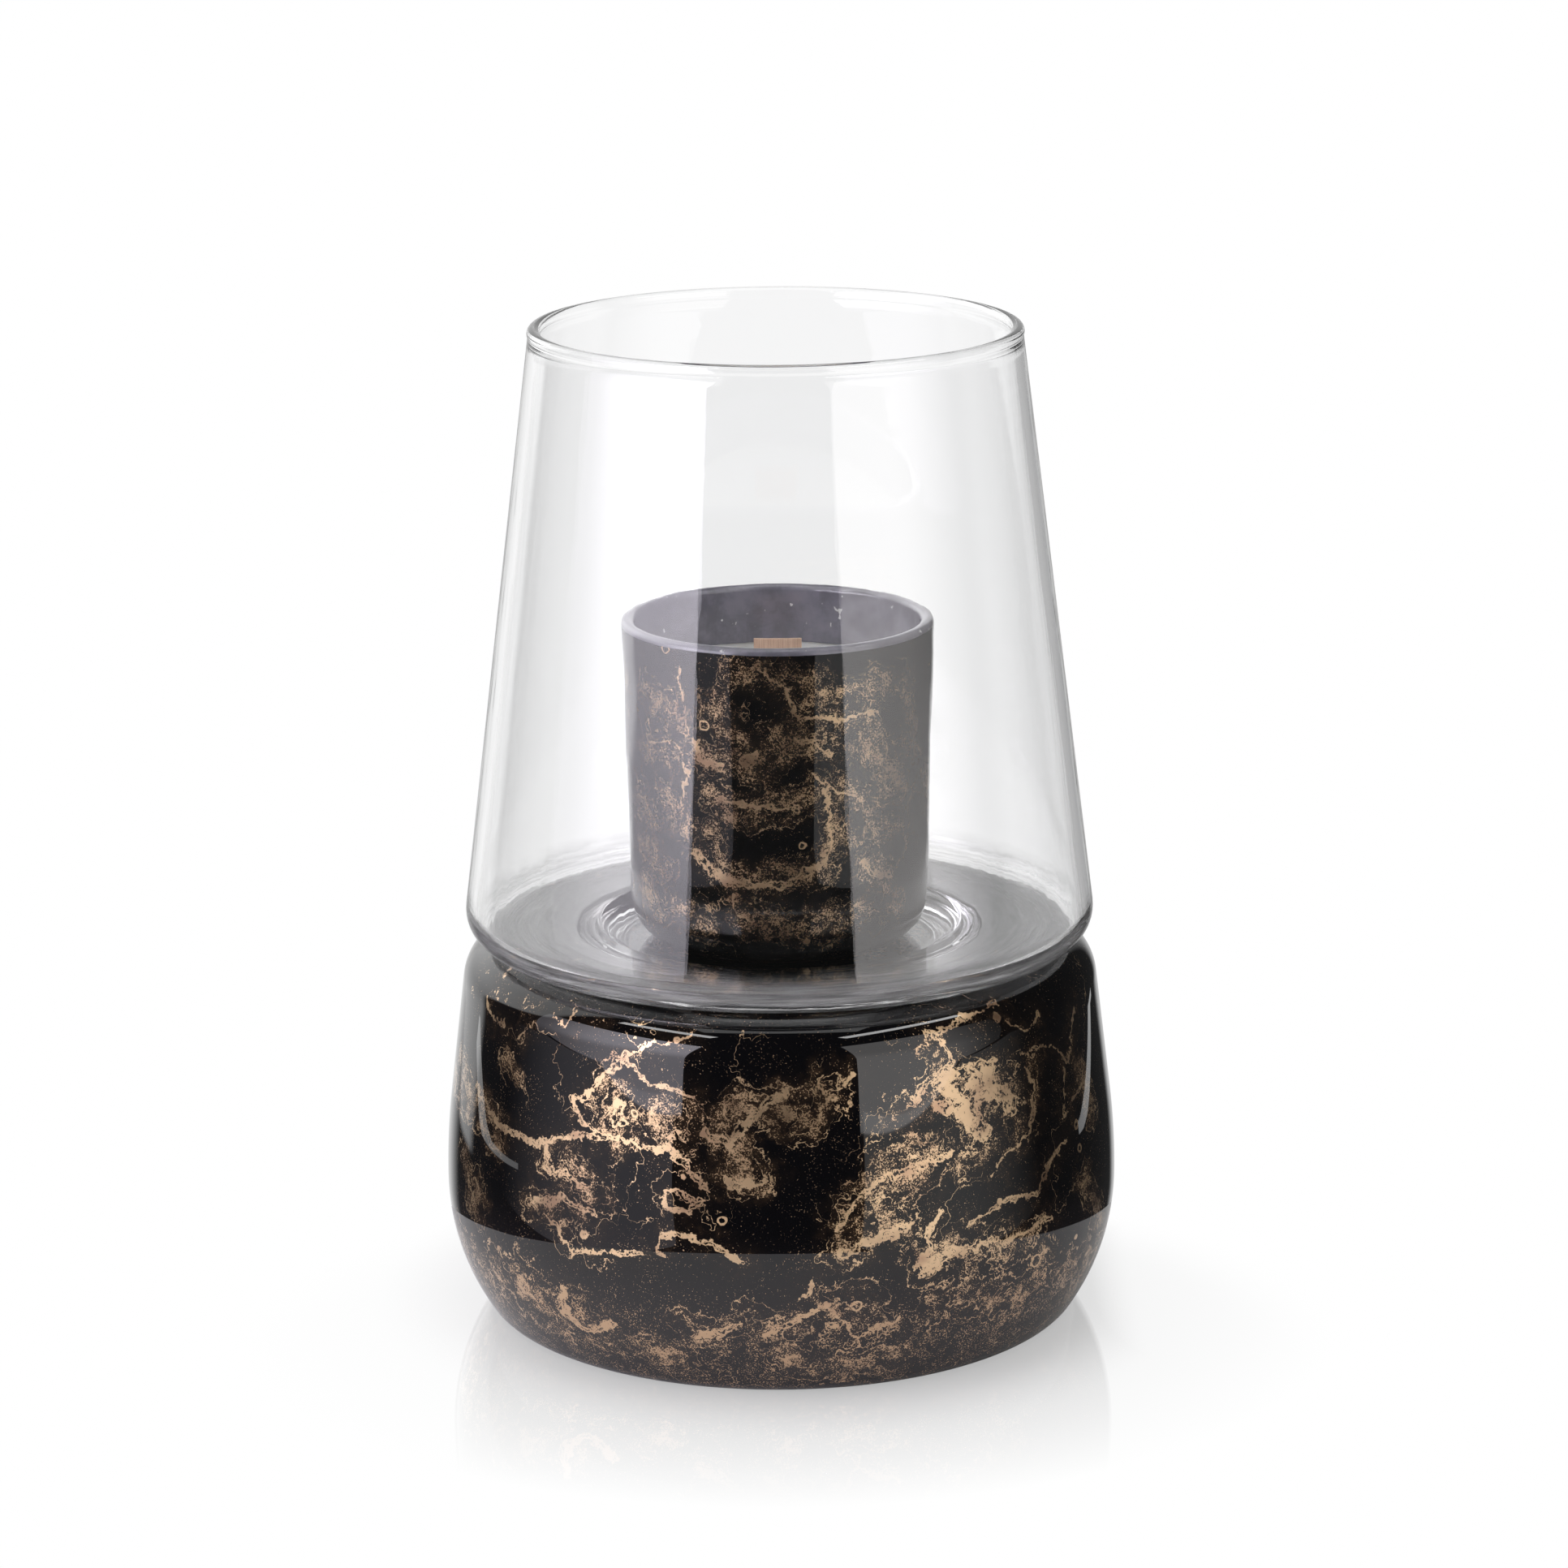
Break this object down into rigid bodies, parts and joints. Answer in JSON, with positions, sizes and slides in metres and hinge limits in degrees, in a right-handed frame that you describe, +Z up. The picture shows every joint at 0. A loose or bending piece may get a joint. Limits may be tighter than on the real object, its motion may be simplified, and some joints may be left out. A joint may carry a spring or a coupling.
{
  "type": "hurricane candle lantern",
  "caption": "Hurricane candle lantern: clear tapered glass shade standing on a rounded marbled glass base, with a wooden-wick candle in a glass tumbler inside.",
  "frame": {"origin": "middle of the base's underside, on the surface it stands on", "axes": "+Z up along the axis of the base, shade and candle; X runs along the width of the wick and -Y faces the viewer"},
  "size_m": [0.1844, 0.1844, 0.272],
  "materials": {
    "marbled_glass": "glossy black glass marbled with gold veins and speckle",
    "clear_glass": "clear, polished",
    "wax": "smooth, slightly translucent",
    "wick_wood": "raw sawn wood",
    "clip_steel": "tinned sheet",
    "foam_tab": "matt foam"
  },
  "bodies": {
    "base": {"base_vessel": "marbled_glass"},
    "shade": {"hurricane_shade": "clear_glass"},
    "candle": {"candle_jar": "marbled_glass", "wax_fill": "wax", "wood_wick": "wick_wood", "wick_clip": "clip_steel", "wick_sticker": "foam_tab"}
  },
  "joints": [
    {"name": "shade_lift", "type": "slide", "parent": "base", "child": "shade", "axis": [0, 0, 1], "range_m": [0, 0.06]},
    {"name": "candle_lift", "type": "slide", "parent": "shade", "child": "candle", "axis": [0, 0, 1], "range_m": [0, 0.185]}
  ]
}
